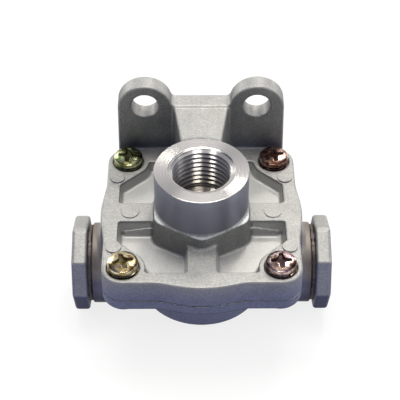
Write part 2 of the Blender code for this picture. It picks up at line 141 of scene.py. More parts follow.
def makeCastAluminium(name="shotBlastedDieCasting", s=castSettings):
    # Die cast aluminium after shot blasting: pale, dull grey with a fine sparkle of dents. The dents are
    # nearer 0.1 mm on the real one, too fine to show, so they are drawn at 0.4 mm. Faces turned sideways,
    # forward, down or low down are painted darker and bluer as shade, and the inner corners get painted
    # shade.
    # The pocket floors are lightened with painted light, the hexagon's ledge and the joint line get painted
    # highlight, and the neck a brown-grey tint that is partly painted shade.
    material, tree = newMaterial(name)
    place = addNode(tree, "TexCoord").outputs["Object"]
    grain = addNode(tree, "TexNoise", {"Scale": 1000 / s["grain"], "Detail": 3.0, "Roughness": 0.65},
                    {"Vector": place})
    cloud = addNode(tree, "TexNoise", {"Scale": 1000 / s["cloud"], "Detail": 4.0, "Roughness": 0.6},
                    {"Vector": place})
    speckle = addNode(tree, "MapRange", {"From Min": 0.35, "From Max": 0.68},
                      {"Value": grain.outputs["Fac"]})
    patches = addNode(tree, "MapRange", {"From Min": 0.38, "From Max": 0.75},
                      {"Value": cloud.outputs["Fac"]})
    tone = addNode(tree, "Mix", {"data_type": "RGBA", 6: linear(s["dark"]), 7: linear(s["light"])},
                   {0: speckle.outputs[0]})
    stained = addNode(tree, "Mix", {"data_type": "RGBA", 7: linear(s["stain"])}, {6: tone.outputs[2]})
    amount = addNode(tree, "Math", {"operation": "MULTIPLY", 1: 0.28}, {0: patches.outputs[0]})
    tree.links.new(amount.outputs[0], stained.inputs[0])
    # Brown-grey tint on the neck, strongest towards the collar groove, partly painted shade
    neck = addNode(tree, "Attribute", {"attribute_name": "neckTint"})
    darkened = addNode(tree, "Mix", {"data_type": "RGBA", 7: linear(s["neckTint"])},
                   {0: neck.outputs["Fac"], 6: stained.outputs[2]})
    # Painted light: the pocket floors are mixed towards a paler colour and kept free of the side shade
    pocketLight = addNode(tree, "Attribute", {"attribute_name": "pocketLight"})
    paler = addNode(tree, "Math", {"operation": "MULTIPLY", 1: 0.6}, {0: pocketLight.outputs["Fac"]})
    pale = addNode(tree, "Mix", {"data_type": "RGBA", 7: linear(s["floor"])},
                   {0: paler.outputs[0], 6: darkened.outputs[2]})
    # Painted highlight on the hexagon's ledge, and painted light along the joint line
    ledge = addNode(tree, "Attribute", {"attribute_name": "ledgeAndJointLight"})
    ledgeAndJointLight = addNode(tree, "Mix", {"data_type": "RGBA", 7: linear(s["ledgeAndJointLight"])},
                     {0: ledge.outputs["Fac"], 6: pale.outputs[2]})
    # Painted shade: faces turned sideways, forward, down or low down are multiplied darker and bluer; upward
    # faces and the pocket floors are left plain
    facing = addNode(tree, "SeparateXYZ", links={0: addNode(tree, "TexCoord").outputs["Normal"]})
    height = addNode(tree, "SeparateXYZ", links={0: place})
    upper = addNode(tree, "MapRange", {"From Min": 0.034, "From Max": 0.048}, {"Value": height.outputs["Z"]})
    within = addNode(tree, "Attribute", {"attribute_name": "within"})
    grey = addNode(tree, "Math", {"operation": "MAXIMUM"}, {0: upper.outputs[0], 1: within.outputs["Fac"]})
    side = addNode(tree, "Mix", {"data_type": "RGBA", 6: linear(s["low"]), 7: linear(s["high"])},
                   {0: grey.outputs[0]})
    turnedDown = addNode(tree, "MapRange", {"From Min": 0.05, "From Max": -0.38},
                         {"Value": facing.outputs["Z"]})
    lower = addNode(tree, "Mix", {"data_type": "RGBA", 7: linear(s["under"])},
                    {0: turnedDown.outputs[0], 6: side.outputs[2]})
    forward = addNode(tree, "MapRange", {"From Min": 0.1, "From Max": -0.4}, {"Value": facing.outputs["Y"]})
    below = addNode(tree, "Mix", {"data_type": "RGBA", 6: linear(s["back"])},
                    {0: forward.outputs[0], 7: lower.outputs[2]})
    turnedUp = addNode(tree, "MapRange", {"From Min": 0.25, "From Max": 0.8}, {"Value": facing.outputs["Z"]})
    bare = addNode(tree, "Math", {"operation": "MAXIMUM"},
                   {0: turnedUp.outputs[0], 1: pocketLight.outputs["Fac"]})
    sideShade = addNode(tree, "Mix", {"data_type": "RGBA", 7: (1, 1, 1, 1)},
                   {0: bare.outputs[0], 6: below.outputs[2]})
    sideShaded = addNode(tree, "Mix", {"data_type": "RGBA", "blend_type": "MULTIPLY", 0: 1.0},
                      {6: ledgeAndJointLight.outputs[2], 7: sideShade.outputs[2]})
    # Painted shade darkens the inner corners
    hollow = addNode(tree, "Attribute", {"attribute_name": "hollow"})
    corner = addNode(tree, "MapRange", {"From Min": 0.18, "From Max": 0.7, "To Max": 0.75},
                     {"Value": hollow.outputs["Fac"]})
    cornerShaded = addNode(tree, "Mix", {"data_type": "RGBA", 7: linear(s["cornerShade"])},
                    {0: corner.outputs[0], 6: sideShaded.outputs[2]})
    rough = addNode(tree, "MapRange", {"To Min": s["roughness"] - 0.06, "To Max": s["roughness"] + 0.1},
                    {"Value": grain.outputs["Fac"]})
    bump = addNode(tree, "Bump", {"Strength": 0.55, "Distance": s["grainDepth"] / 1000},
                   {"Height": grain.outputs["Fac"]})
    shader = addNode(tree, "BsdfPrincipled", {"Metallic": s["metallic"], "Specular IOR Level": 0.2},
                     {"Base Color": cornerShaded.outputs[2], "Roughness": rough.outputs[0],
                      "Normal": bump.outputs[0]})
    addNode(tree, "OutputMaterial", links={"Surface": shader.outputs[0]})
    return material


turnedSettings = {
    # the third colour is painted shade for faces turned sideways
    "light": "#C6C2BD", "dark": "#ACA8A3", "side": "#A6ADC0",
    "boreTint": "#D8D0C2", "boreTintDepth": 14.0, "boreRadius": 10.5, "boreMetallic": 0.6,
    "roughness": 0.27, "sideRoughness": 0.42, "anisotropy": 0.88, "groove": 0.22,
}


def makeTurnedAluminium(name, axisPoint, axis, face, s=turnedSettings):
    # Aluminium cut on a lathe: bright, with fine rings round the port that draw the light into a streak
    # across them. Faces turned sideways are painted darker and bluer as shade. Past the mouth the bore
    # turns warmer, a little darker and less metallic with depth. The tool marks are about
    # 0.1 mm apart and are drawn at 0.22 mm.
    material, tree = newMaterial(name)
    place = addNode(tree, "TexCoord").outputs["Object"]
    centred = addNode(tree, "VectorMath", {"operation": "SUBTRACT", 1: tuple(axisPoint)}, {0: place})
    along = addNode(tree, "VectorMath", {"operation": "DOT_PRODUCT", 1: axis}, {0: centred.outputs[0]})
    swept = addNode(tree, "VectorMath", {"operation": "CROSS_PRODUCT", 0: axis}, {1: centred.outputs[0]})
    tangent = addNode(tree, "VectorMath", {"operation": "NORMALIZE"}, {0: swept.outputs[0]})
    radius = addNode(tree, "VectorMath", {"operation": "LENGTH"}, {0: swept.outputs[0]})
    path = addNode(tree, "Math", {"operation": "ADD"},
                   {0: radius.outputs["Value"], 1: along.outputs["Value"]})
    marks = addNode(tree, "TexNoise", {"noise_dimensions": "1D", "Scale": 1000 / s["groove"], "Detail": 3.0},
                    {"W": path.outputs[0]})
    tone = addNode(tree, "MapRange", {"From Min": 0.3, "From Max": 0.7}, {"Value": marks.outputs["Fac"]})
    colour = addNode(tree, "Mix", {"data_type": "RGBA", 6: linear(s["dark"]), 7: linear(s["light"])},
                     {0: tone.outputs[0]})
    # Painted shade: faces turned sideways are multiplied darker and bluer
    facing = addNode(tree, "SeparateXYZ", links={0: addNode(tree, "TexCoord").outputs["Normal"]})
    level = addNode(tree, "MapRange", {"From Min": 0.2, "From Max": 0.7}, {"Value": facing.outputs["Z"]})
    sideShade = addNode(tree, "Mix", {"data_type": "RGBA", 6: linear(s["side"]), 7: (1, 1, 1, 1)},
                   {0: level.outputs[0]})
    sideShaded = addNode(tree, "Mix", {"data_type": "RGBA", "blend_type": "MULTIPLY", 0: 1.0},
                      {6: colour.outputs[2], 7: sideShade.outputs[2]})
    # Deeper in the bore the colour turns warmer and a little darker and the metal less metallic
    deep = addNode(tree, "MapRange", {"From Min": face - 0.0005, "From Max": face - s["boreTintDepth"] / 1000},
                   {"Value": along.outputs["Value"]})
    within = addNode(tree, "Math", {"operation": "LESS_THAN", 1: s["boreRadius"] / 1000},
                     {0: radius.outputs["Value"]})
    deepInBore = addNode(tree, "Math", {"operation": "MULTIPLY"}, {0: deep.outputs[0], 1: within.outputs[0]})
    film = addNode(tree, "Mix", {"data_type": "RGBA", "blend_type": "MULTIPLY", 7: linear(s["boreTint"])},
                   {0: deepInBore.outputs[0], 6: sideShaded.outputs[2]})
    metallic = addNode(tree, "MapRange", {"To Min": 1.0, "To Max": s["boreMetallic"]},
                       {"Value": within.outputs[0]})
    bump = addNode(tree, "Bump", {"Strength": 0.2, "Distance": 0.00003}, {"Height": marks.outputs["Fac"]})
    rough = addNode(tree, "MapRange", {"To Min": s["sideRoughness"], "To Max": s["roughness"]},
                    {"Value": level.outputs[0]})
    shader = addNode(tree, "BsdfPrincipled", {
        "Anisotropic": s["anisotropy"], "Anisotropic Rotation": 0.25,
    }, {"Base Color": film.outputs[2], "Metallic": metallic.outputs[0], "Roughness": rough.outputs[0],
        "Normal": bump.outputs[0],
        "Tangent": tangent.outputs[0]})
    addNode(tree, "OutputMaterial", links={"Surface": shader.outputs[0]})
    return material


def makeYellowZinc(name, colours, recessShade, shift):
    # Zinc plate passivated with yellow chromate: a thin clear film whose thickness drifts, so gold turns
    # to copper, violet or green over a few millimetres. On faces turned to the back the colour shifts
    # further along the same colours, a painted sheen. The recess is darkened with painted shade.
    material, tree = newMaterial(name)
    place = addNode(tree, "TexCoord").outputs["Object"]
    moved = addNode(tree, "Mapping", {"Location": shift}, {"Vector": place})
    drift = addNode(tree, "TexNoise", {"Scale": 230.0, "Detail": 2.0, "Distortion": 0.6},
                    {"Vector": moved.outputs[0]})
    facing = addNode(tree, "SeparateXYZ", links={0: addNode(tree, "TexCoord").outputs["Normal"]})
    # Painted sheen: faces turned to the back shift further along the colours
    backFacingShift = addNode(tree, "MapRange", {"From Min": -0.5, "From Max": 0.6, "To Max": 0.24},
                     {"Value": facing.outputs["Y"]})
    spread = addNode(tree, "MapRange", {"From Min": 0.34, "From Max": 0.66, "To Max": 0.75},
                     {"Value": drift.outputs["Fac"]})
    film = addNode(tree, "Math", {"operation": "ADD"}, {0: backFacingShift.outputs[0], 1: spread.outputs[0]})
    ramp = addNode(tree, "ValToRGB", links={"Fac": film.outputs[0]})
    stops = ramp.color_ramp.elements
    stops[0].color, stops[1].color = linear(colours[0]), linear(colours[-1])
    for i in range(1, len(colours) - 1):
        stops.new(i / (len(colours) - 1)).color = linear(colours[i])
    # Painted shade: the recess is darker, rougher and less metallic
    hollow = addNode(tree, "Attribute", {"attribute_name": "hollow"})
    shade = addNode(tree, "MapRange", {"From Min": 0.02, "From Max": 0.3, "To Max": 0.8},
                    {"Value": hollow.outputs["Fac"]})
    darkened = addNode(tree, "Mix", {"data_type": "RGBA", 7: linear(recessShade)},
                   {0: shade.outputs[0], 6: ramp.outputs[0]})
    fine = addNode(tree, "TexNoise", {"Scale": 1800.0, "Detail": 2.0}, {"Vector": place})
    bump = addNode(tree, "Bump", {"Strength": 0.25, "Distance": 0.00002}, {"Height": fine.outputs["Fac"]})
    clean = addNode(tree, "MapRange", {"To Min": 0.18, "To Max": 0.32}, {"Value": fine.outputs["Fac"]})
    rough = addNode(tree, "Mix", {3: 0.5}, {0: shade.outputs[0], 2: clean.outputs[0]})
    metallic = addNode(tree, "MapRange", {"To Min": 1.0, "To Max": 0.7}, {"Value": shade.outputs[0]})
    shader = addNode(tree, "BsdfPrincipled", {}, {
        "Base Color": darkened.outputs[2], "Metallic": metallic.outputs[0], "Roughness": rough.outputs[0],
        "Normal": bump.outputs[0]})
    addNode(tree, "OutputMaterial", links={"Surface": shader.outputs[0]})
    return material


def makePlain(name, light, dark, metallic, roughness, scale, depth):
    # A finish of one colour with a fine unevenness: moulded rubber, or drawn spring wire
    material, tree = newMaterial(name)
    place = addNode(tree, "TexCoord").outputs["Object"]
    fine = addNode(tree, "TexNoise", {"Scale": 1000 / scale, "Detail": 3.0}, {"Vector": place})
    colour = addNode(tree, "Mix", {"data_type": "RGBA", 6: linear(dark), 7: linear(light)},
                     {0: fine.outputs["Fac"]})
    rough = addNode(tree, "MapRange", {"To Min": roughness - 0.08, "To Max": roughness + 0.08},
                    {"Value": fine.outputs["Fac"]})
    bump = addNode(tree, "Bump", {"Strength": 0.5, "Distance": depth / 1000},
                   {"Height": fine.outputs["Fac"]})
    shader = addNode(tree, "BsdfPrincipled", {"Metallic": metallic},
                     {"Base Color": colour.outputs[2], "Roughness": rough.outputs[0],
                      "Normal": bump.outputs[0]})
    addNode(tree, "OutputMaterial", links={"Surface": shader.outputs[0]})
    return material


castAluminium = makeCastAluminium()
print("materials made")


# Distances to shapes, negative inside. They take whole arrays of x, y and z.


def roundJoin(a, b, radius):
    # Both shapes, with a fillet of that radius where they meet
    return np.maximum(radius, np.minimum(a, b)) - np.hypot(np.maximum(radius - a, 0),
                                                           np.maximum(radius - b, 0))


def roundTrim(a, b, radius):
    # What both shapes share, with its edge rounded to that radius
    return np.minimum(-radius, np.maximum(a, b)) + np.hypot(np.maximum(radius + a, 0),
                                                            np.maximum(radius + b, 0))


def regularDistance(u, v, sides, apothem, rounding, turn):
    # A regular outline with rounded corners: the angle is folded into one side, then the side's own distance
    angle = np.arctan2(v, u) - radians(turn)
    sector = 2 * pi / sides
    folded = angle - np.round(angle / sector) * sector
    reach = np.hypot(u, v)
    across = reach * np.cos(folded) - (apothem - rounding)
    beside = np.abs(reach * np.sin(folded)) - (apothem - rounding) * tan(pi / sides)
    return np.where(across > 0, np.hypot(across, np.maximum(beside, 0)), across) - rounding


def outlineDistance(u, v, outline):
    # A closed outline: the distance to its nearest side, negative where a ray crosses it an odd number of
    # times
    start = np.asarray(outline, float)
    side = np.roll(start, -1, axis=0) - start
    du, dv = u[..., None] - start[:, 0], v[..., None] - start[:, 1]
    share = np.clip((du * side[:, 0] + dv * side[:, 1]) / (side**2).sum(1), 0, 1)
    nearest = np.hypot(du - share * side[:, 0], dv - share * side[:, 1]).min(-1)
    passes = (dv >= 0) != (dv - side[:, 1] >= 0)
    right = (du * side[:, 1] - dv * side[:, 0]) * np.sign(side[:, 1]) < 0
    return np.where((passes & right).sum(-1) % 2 == 1, -nearest, nearest)


def arcPoints(centre, radius, start, end, steps):
    angles = np.radians(np.linspace(start, end, steps + 1))
    return np.stack((centre[0] + radius * np.cos(angles), centre[1] + radius * np.sin(angles)), 1)


def slopeOf(field, points):
    # Distance and slope at each point, from four samples at the corners of a small tetrahedron
    step = 0.03
    corners = np.array([[1, -1, -1], [-1, -1, 1], [-1, 1, -1], [1, 1, 1]], float)
    values = np.stack([field(*(points + step * corner).T) for corner in corners], 1)
    return values.mean(1), values @ corners / (4 * step)


def hollowness(field, points, normals):
    # How far each point sits in an inner corner: a little way out along its normal, open metal is as far off
    # as the step taken, and less where another wall is near
    steps = (0.35, 0.7, 1.2)
    return sum(np.clip(1 - field(*(points + normals * step).T) / step, 0, 1) for step in steps) / len(steps)


def netSurface(field, low, high, cell):
    # The zero level of a distance: every cell of a grid that the surface passes through gets one point, the
    # mean of the crossings on its edges, and every crossed edge a face between its four cells. The points
    # are then spread evenly and moved along the slope onto the surface, whose slope gives the normals.
    low, high = np.array(low, float), np.array(high, float)
    count = np.ceil((high - low) / cell).astype(int) + 1
    ticks = [low[k] + cell * np.arange(count[k]) for k in range(3)]
    value = field(ticks[0][:, None, None], ticks[1][None, :, None], ticks[2][None, None, :])
    value = np.broadcast_to(value, count).astype(np.float32)
    cells = count - 1
    total = np.zeros((3, cells.prod()))
    hits = np.zeros(cells.prod())
    around = []
    for axis in range(3):
        first = value.take(range(count[axis] - 1), axis)
        second = value.take(range(1, count[axis]), axis)
        crossing = np.argwhere((first < 0) != (second < 0))
        a, b = first[tuple(crossing.T)], second[tuple(crossing.T)]
        where = crossing.astype(float)
        where[:, axis] += a / (a - b)
        u, v = (axis + 1) % 3, (axis + 2) % 3
        ring = []
        for du, dv in ((-1, -1), (0, -1), (0, 0), (-1, 0)):
            neighbour = crossing.copy()
            neighbour[:, u] += du
            neighbour[:, v] += dv
            index = np.ravel_multi_index(neighbour.T, cells)
            ring.append(index)
            hits += np.bincount(index, minlength=len(hits))
            for k in range(3):
                total[k] += np.bincount(index, where[:, k], len(hits))
        ring = np.stack(ring, 1)
        around.append(np.where((a < 0)[:, None], ring, ring[:, ::-1]))
    used = hits > 0
    number = np.cumsum(used) - 1
    points = low + cell * (total[:, used] / hits[used]).T
    faces = number[np.concatenate(around)]
    for spread in (0.5, 0.5, 0.0, 0.0):
        if spread:
            middle = np.zeros_like(points)
            share = np.zeros(len(points))
            for k in range(4):
                for step in (1, 3):
                    share += np.bincount(faces[:, k], minlength=len(points))
                    for axis in range(3):
                        middle[:, axis] += np.bincount(
                            faces[:, k], points[faces[:, (k + step) % 4], axis], len(points))
            points += spread * (middle / share[:, None] - points)
        distance, slope = slopeOf(field, points)
        steep = np.maximum((slope**2).sum(1), 0.1)
        move = -(distance / steep)[:, None] * slope
        reach = np.linalg.norm(move, axis=1)
        points += move * np.minimum(1, 0.5 * cell / np.maximum(reach, 1e-9))[:, None]
    slope = slopeOf(field, points)[1]
    normals = slope / np.linalg.norm(slope, axis=1)[:, None]
    return points, faces, normals, hollowness(field, points, normals)


# The flange outline that cover and body share

flangeShape = {
    "screwPlace": 25.0, "cornerRadius": 7.0,
    "sideReach": 33.4, "sideBlend": 1.4,
    "frontReach": 34.35, "frontCurve": 34.35, "frontBlend": 1.0,
}


def flangeDistance(x, y, s=flangeShape):
    px, py = np.abs(x) - s["screwPlace"], np.abs(y) - s["screwPlace"]
    square = np.hypot(np.maximum(px, 0), np.maximum(py, 0)) + np.minimum(np.maximum(px, py),
                                                                         0) - s["cornerRadius"]
    bulge = np.hypot(x, y) - s["sideReach"]
    front = np.hypot(x, y - (s["frontCurve"] - s["frontReach"])) - s["frontCurve"]
    front = np.maximum(np.maximum(front, y + 20), np.abs(x) - 21)
    return roundJoin(roundJoin(square, bulge, s["sideBlend"]), front, s["frontBlend"])


coverShape = {
    "joint": 32.3, "top": 40.7, "draft": 0.012, "edge": 0.7,
    "rim": 4.6, "backRim": 7.1, "sideRib": 8.6, "frontRib": 9.2, "padRadius": 7.0,
    "markY": 16.4, "markRadius": 2.5,
    "frontFloor": 35.1, "backFloor": 36.7, "pocketDraft": 0.16, "pocketCorner": 1.0,
    "pocketRim": 0.3, "pocketFoot": 0.8,
    "stepHeight": 36.6, "stepSlope": 0.16, "stepWidth": 0.6,        # on the side rib's front wall
    "hexHalf": 15.42, "hexTop": 44.9, "hexFlare": 0.08, "hexCorner": 4.4, "foot": 0.9,
    "bossRadius": 15.2, "bossTop": 59.1, "faceCut": 15.45,
    "webFront": 6.4, "webBack": 9.8, "webTop": 59.0, "webEdge": 0.7, "webRound": 1.3,
    "plateMiddle": 35.0, "plateHalf": 3.1, "plateEdge": 0.6, "plateSide": 28.25,
    "earX": 19.05, "earHeight": 58.4, "earRadius": 9.2, "bridge": 59.5, "earBlend": 1.5,
    "holeHeight": 59.5, "holeRadius": 4.6,
    "spotRadius": 5.2, "spotHeight": 39.7, "screwHole": 2.8,
}


def pocketOutline(s, ribHalf, outerY):
    # One quarter's pocket, inset by its corners' radius: along the ribs and the rim, past the pin mark on
    # the tangent to the screw's pad, and then round the pad
    inset = s["pocketCorner"]
    place = flangeShape["screwPlace"]
    outerX = place + flangeShape["cornerRadius"] - s["rim"] - inset
    outerY, pad = outerY - inset, s["padRadius"] + inset
    markY = s["markY"] - s["markRadius"] - inset
    toMark = np.array([outerX - place, markY - place])
    leave = np.degrees(np.arctan2(toMark[1], toMark[0]) - np.arccos(pad / np.hypot(*toMark)))
    along = sqrt(pad**2 - (outerY - place) ** 2)
    sweep = (leave - np.degrees(np.arctan2(outerY - place, -along))) % 360
    near = (ribHalf + inset, s["sideRib"] / 2 + inset)
    pad = arcPoints((place, place), pad, leave, leave - sweep, 8)
    return np.concatenate(([near, (outerX, near[1]), (outerX, markY)], pad, [(near[0], outerY)]))


frontPocket = pocketOutline(coverShape, coverShape["frontRib"] / 2, 32.0 - coverShape["rim"])
backPocket = pocketOutline(coverShape, coverShape["webFront"], 32.0 - coverShape["backRim"])


def coverDistance(x, y, z, s=coverShape):
    sideX, radius = np.abs(x), np.hypot(x, y)
    flange = flangeDistance(x, y) + s["draft"] * (z - s["joint"])
    flange = roundTrim(flange, z - s["top"], s["edge"])
    for outline, end, floor in ((frontPocket, -1, s["frontFloor"]), (backPocket, 1, s["backFloor"])):
        walls = outlineDistance(sideX, y * end, outline) - s["pocketCorner"]
        if end < 0:
            foot = s["stepHeight"] + s["stepSlope"] * (28 - sideX) - z
            walls = walls + s["stepWidth"] * np.clip(foot / 0.25, 0,
                                                     1) * np.clip(y + 9, 0, 1) * np.clip(26 - sideX, 0, 1)
        pocket = roundTrim(walls + s["pocketDraft"] * (s["top"] - z), floor - z, s["pocketFoot"])
        flange = roundTrim(flange, -pocket, s["pocketRim"])
    hexagon = regularDistance(x, y, 6, s["hexHalf"], s["hexCorner"], 0) - s["hexFlare"] * (s["hexTop"] - z)
    hexagon = roundTrim(hexagon, z - s["hexTop"], 0.2)
    solid = roundJoin(flange, hexagon, s["foot"])
    half = s["webFront"] + (s["webBack"] - s["webFront"]) * (y - 12) / 23
    web = roundTrim(sideX - half - 0.02 * (s["webTop"] - z), z - s["webTop"], s["webEdge"])
    web = np.maximum(web, np.maximum(10 - y, y - 36))
    solid = roundJoin(solid, web, s["foot"])
    boss = np.maximum(radius - s["bossRadius"], z - s["bossTop"])
    solid = roundJoin(solid, boss, s["webRound"])
    solid = np.maximum(solid, -np.maximum(radius - s["faceCut"], s["bossTop"] - z))
    ear = np.hypot(sideX - s["earX"], z - s["earHeight"]) - s["earRadius"]
    upright = np.maximum(sideX - s["plateSide"] - 0.02 * (s["earHeight"] - z), z - s["earHeight"])
    bridge = np.maximum(sideX - s["earX"], z - s["bridge"])
    plate = roundJoin(np.minimum(ear, upright), bridge, s["earBlend"])
    plate = roundTrim(plate, np.abs(y - s["plateMiddle"]) - s["plateHalf"], s["plateEdge"])
    hole = np.hypot(sideX - s["earX"], z - s["holeHeight"]) - s["holeRadius"]
    plate = roundTrim(plate, -hole, 0.3)
    solid = roundJoin(solid, plate, s["foot"])
    screw = np.hypot(sideX - flangeShape["screwPlace"], np.abs(y) - flangeShape["screwPlace"])
    solid = roundTrim(solid, -np.maximum(screw - s["spotRadius"], s["spotHeight"] - z), 0.5)
    bore = radius - np.interp(z, [39.6, 43.0, 58.0, 59.6], [5.3, 11.0, 11.0, 12.1])
    return np.maximum(np.maximum(solid, s["joint"] - z), -np.minimum(bore * 0.8, screw - s["screwHole"]))


bodyShape = {
    "top": 32.3, "low": 28.2, "edge": 0.7, "draft": 0.012,
    "screwBoss": 6.4, "screwBossLow": 27.5,
    "drumRadius": 21.0, "drumLow": 7.4, "drumEdge": 0.9, "fillet": 1.4,
    "portHeight": 16.6, "neckRadius": 13.7, "neckBlend": 2.2,
    "collarIn": 38.0, "collarOut": 43.3, "collarHalf": 14.85, "collarCorner": 0.8, "collarEdge": 1.2,
    "grooveRadius": 12.9, "grooveHalf": 0.6, "grooveRound": 0.45,
    "bossRadius": 12.5, "bossEdge": 0.7,
    "chamberRadius": 18.2, "chamberFloor": 11.6, "seatRadius": 7.5, "seatHeight": 25.6,
}


def bodyDistance(x, y, z, s=bodyShape):
    sideX, radius = np.abs(x), np.hypot(x, y)
    flange = flangeDistance(x, y) + s["draft"] * (s["top"] - z)
    flange = roundTrim(flange, s["low"] - z, s["edge"])
    screw = np.hypot(sideX - flangeShape["screwPlace"], np.abs(y) - flangeShape["screwPlace"])
    flange = roundJoin(flange, roundTrim(screw - s["screwBoss"], s["screwBossLow"] - z, 0.5), 0.5)
    drum = roundTrim(radius - s["drumRadius"] - 0.01 * (z - s["drumLow"]), s["drumLow"] - z, s["drumEdge"])
    solid = roundJoin(flange, drum, s["fillet"])
    fromPort = np.hypot(y, z - s["portHeight"])
    neck = np.maximum(fromPort - s["neckRadius"], sideX - s["collarIn"] - 1)
    solid = roundJoin(solid, neck, s["neckBlend"])
    collar = regularDistance(y, z - s["portHeight"], 8, s["collarHalf"], s["collarCorner"], 22.5)
    middle = (s["collarIn"] + s["collarOut"]) / 2
    collar = roundTrim(collar, np.abs(sideX - middle) - (s["collarOut"] - middle), s["collarEdge"])
    solid = np.minimum(solid, collar)
    groove = np.maximum(s["grooveRadius"] - fromPort,
                        np.abs(sideX - s["collarIn"] + s["grooveHalf"]) - s["grooveHalf"])
    solid = roundTrim(solid, -groove, s["grooveRound"])
    boss = roundTrim(np.maximum(radius - s["bossRadius"], z - 12), -z, s["bossEdge"])
    solid = roundJoin(solid, boss, 1.0)
    chamber = roundTrim(radius - s["chamberRadius"], s["chamberFloor"] - z, 1.5)
    solid = np.maximum(np.maximum(solid, z - s["top"]), -chamber)
    seat = np.maximum(radius - s["seatRadius"], np.maximum(z - s["seatHeight"], 10 - z))
    solid = np.minimum(solid, seat)
    port = fromPort - np.interp(sideX, [27.5, 30.0, 42.5, 43.6], [5.2, 8.9, 8.9, 10.0])
    port = np.maximum(port * 0.8, 8 - sideX)
    exhaust = radius - np.interp(z, [-0.3, 0.8, 9.2, 11.0], [10.0, 8.9, 8.9, 5.7])
    return np.maximum(solid, -np.minimum(np.minimum(port, exhaust * 0.8), screw - s["screwHole"]))


bodyShape["screwHole"] = coverShape["screwHole"]
cellSize = {"cover": 0.475, "body": 0.53, "draft": 0.9}
points, faces, normals, hollow = netSurface(
    coverDistance, (-35, -36, 31), (35, 40, 69), cellSize["cover"])
# Masks for painted light on the pocket floors, and for a painted highlight on the hexagon's ledge and
# painted light along the joint line
inPocket = np.clip((-flangeDistance(points[:, 0], points[:, 1]) - 1.5) / 1.5, 0, 1)
fromHexagon = regularDistance(points[:, 0], points[:, 1], 6, coverShape["hexHalf"], coverShape["hexCorner"],
                              0)
inPocket = inPocket * np.clip((40.4 - points[:, 2]) / 0.8, 0, 1) * np.clip((fromHexagon - 1) / 0.8, 0, 1)
onLedge = (np.abs(points[:, 2] - coverShape["hexTop"]) < 0.12) & (np.hypot(points[:, 0],
                                                                           points[:, 1]) < 17.6)
onJoint = np.clip((coverShape["joint"] + 0.4 - points[:, 2]) / 0.2, 0, 1) * 0.35
# The hollowness drives painted shade in the inner corners
addPiece("coverCasting", points, faces, castAluminium, "cover", normals,
         values={"hollow": hollow, "pocketLight": inPocket * 0.75, "ledgeAndJointLight": np.maximum(onLedge, onJoint),
                 "within": np.clip(-flangeDistance(points[:, 0], points[:, 1]) - 1, 0, 1)})
points, faces, normals, hollow = netSurface(
    bodyDistance, (-45, -36, -1), (45, 36, 33.5), cellSize["body"])
# Brown-grey tint on the neck, strongest towards the collar, partly painted shade; the groove beside the
# collar gets extra painted shade
neckShare = np.interp(np.abs(points[:, 0]), (32.5, 34.2, 35.8, 37.4), (0.6, 0.55, 0.85, 1.0))
neckShare *= np.hypot(points[:, 1], points[:, 2] - bodyShape["portHeight"]) < bodyShape["neckRadius"] + 0.6
neckShare[np.abs(np.abs(points[:, 0]) - 34.8) > 3.1] = 0
inGroove = np.hypot(points[:, 1], points[:, 2] - bodyShape["portHeight"]) < bodyShape["neckRadius"] + 0.3
hollow = np.maximum(hollow, inGroove * np.interp(np.abs(points[:, 0]), (36.2, 36.9, 38.0, 38.4),
                                                 (0, 0.5, 0.5, 0)))
addPiece("bodyCasting", points, faces, castAluminium, "body", normals,
         values={"hollow": hollow, "neckTint": neckShare})


# Machined ports


def threadTooth(turns):
    # Height of a rounded thread form over one pitch, 0 at the root and 1 at the crest
    wave = 1 - np.abs(2 * (turns % 1) - 1)
    return np.clip((wave - 0.12) / 0.76, 0, 1)


def portGrid(s, lead, tail, columns):
    # A closed skin round a port's axis. Its rows follow a profile of radius and height: the lead's points,
    # the chamfer and thread, the drilled end and passage, and the tail's points back inside the metal.
    # The thread's rows climb one pitch in a turn, so its crests run along them.
    angles = 2 * pi * np.arange(columns) / columns
    share = s["pitch"] / 16
    turns = np.arange(-16, s["threadLength"] / share)[:, None] / 16
    depth = np.clip(s["pitch"] * (turns + angles / (2 * pi)), 0, s["threadLength"])
    root = s["root"] - depth / 32
    fade = np.clip((s["threadLength"] - depth) / s["pitch"], 0, 1)
    cut = root - s["threadDepth"] * threadTooth(turns) * fade
    mouth = s["root"] + s["chamfer"] - depth * s["chamfer"] / s["chamferDepth"]
    thread = np.maximum(np.maximum(cut, s["drill"]), mouth)
    rows = [np.broadcast_to(r, columns) for r, height in lead]
    heights = [np.broadcast_to(height, columns) for r, height in lead]
    rows += list(thread)
    heights += list(s["top"] - depth)
    for r, height in (
        (s["drill"], s["top"] - s["threadLength"] - 0.6), (s["drill"], s["top"] - s["drillDepth"]),
        (s["passage"] + 0.15,
         s["top"] - s["drillDepth"] - (s["drill"] - s["passage"] - 0.15) / tan(radians(59))),
        (s["passage"], s["top"] - s["drillDepth"] - (s["drill"] - s["passage"]) / tan(radians(59)) - 0.15),
    ) + tuple(tail):
        rows.append(np.broadcast_to(r, columns))
        heights.append(np.broadcast_to(height, columns))
    radius, height = np.array(rows), np.array(heights)
    grid = np.stack((radius * np.cos(angles), radius * np.sin(angles), height), -1)
    partner = np.arange(len(rows))
    first, last = len(lead), len(lead) + len(thread) - 1
    partner[first:last + 1] = np.minimum(partner[first:last + 1] + 16, last)
    return grid.reshape(-1, 3), gridFaces(len(rows), columns, partner=partner)


supplyPort = {
    "top": 59.4, "root": 10.45, "threadDepth": 0.9, "pitch": 1.814, "threadLength": 16.6,
    "chamfer": 0.65, "chamferDepth": 0.3,
    "drill": 8.9, "drillDepth": 17.4, "passage": 4.8,
    "wall": 15.4, "edge": 0.25, "ledge": 44.9,
}


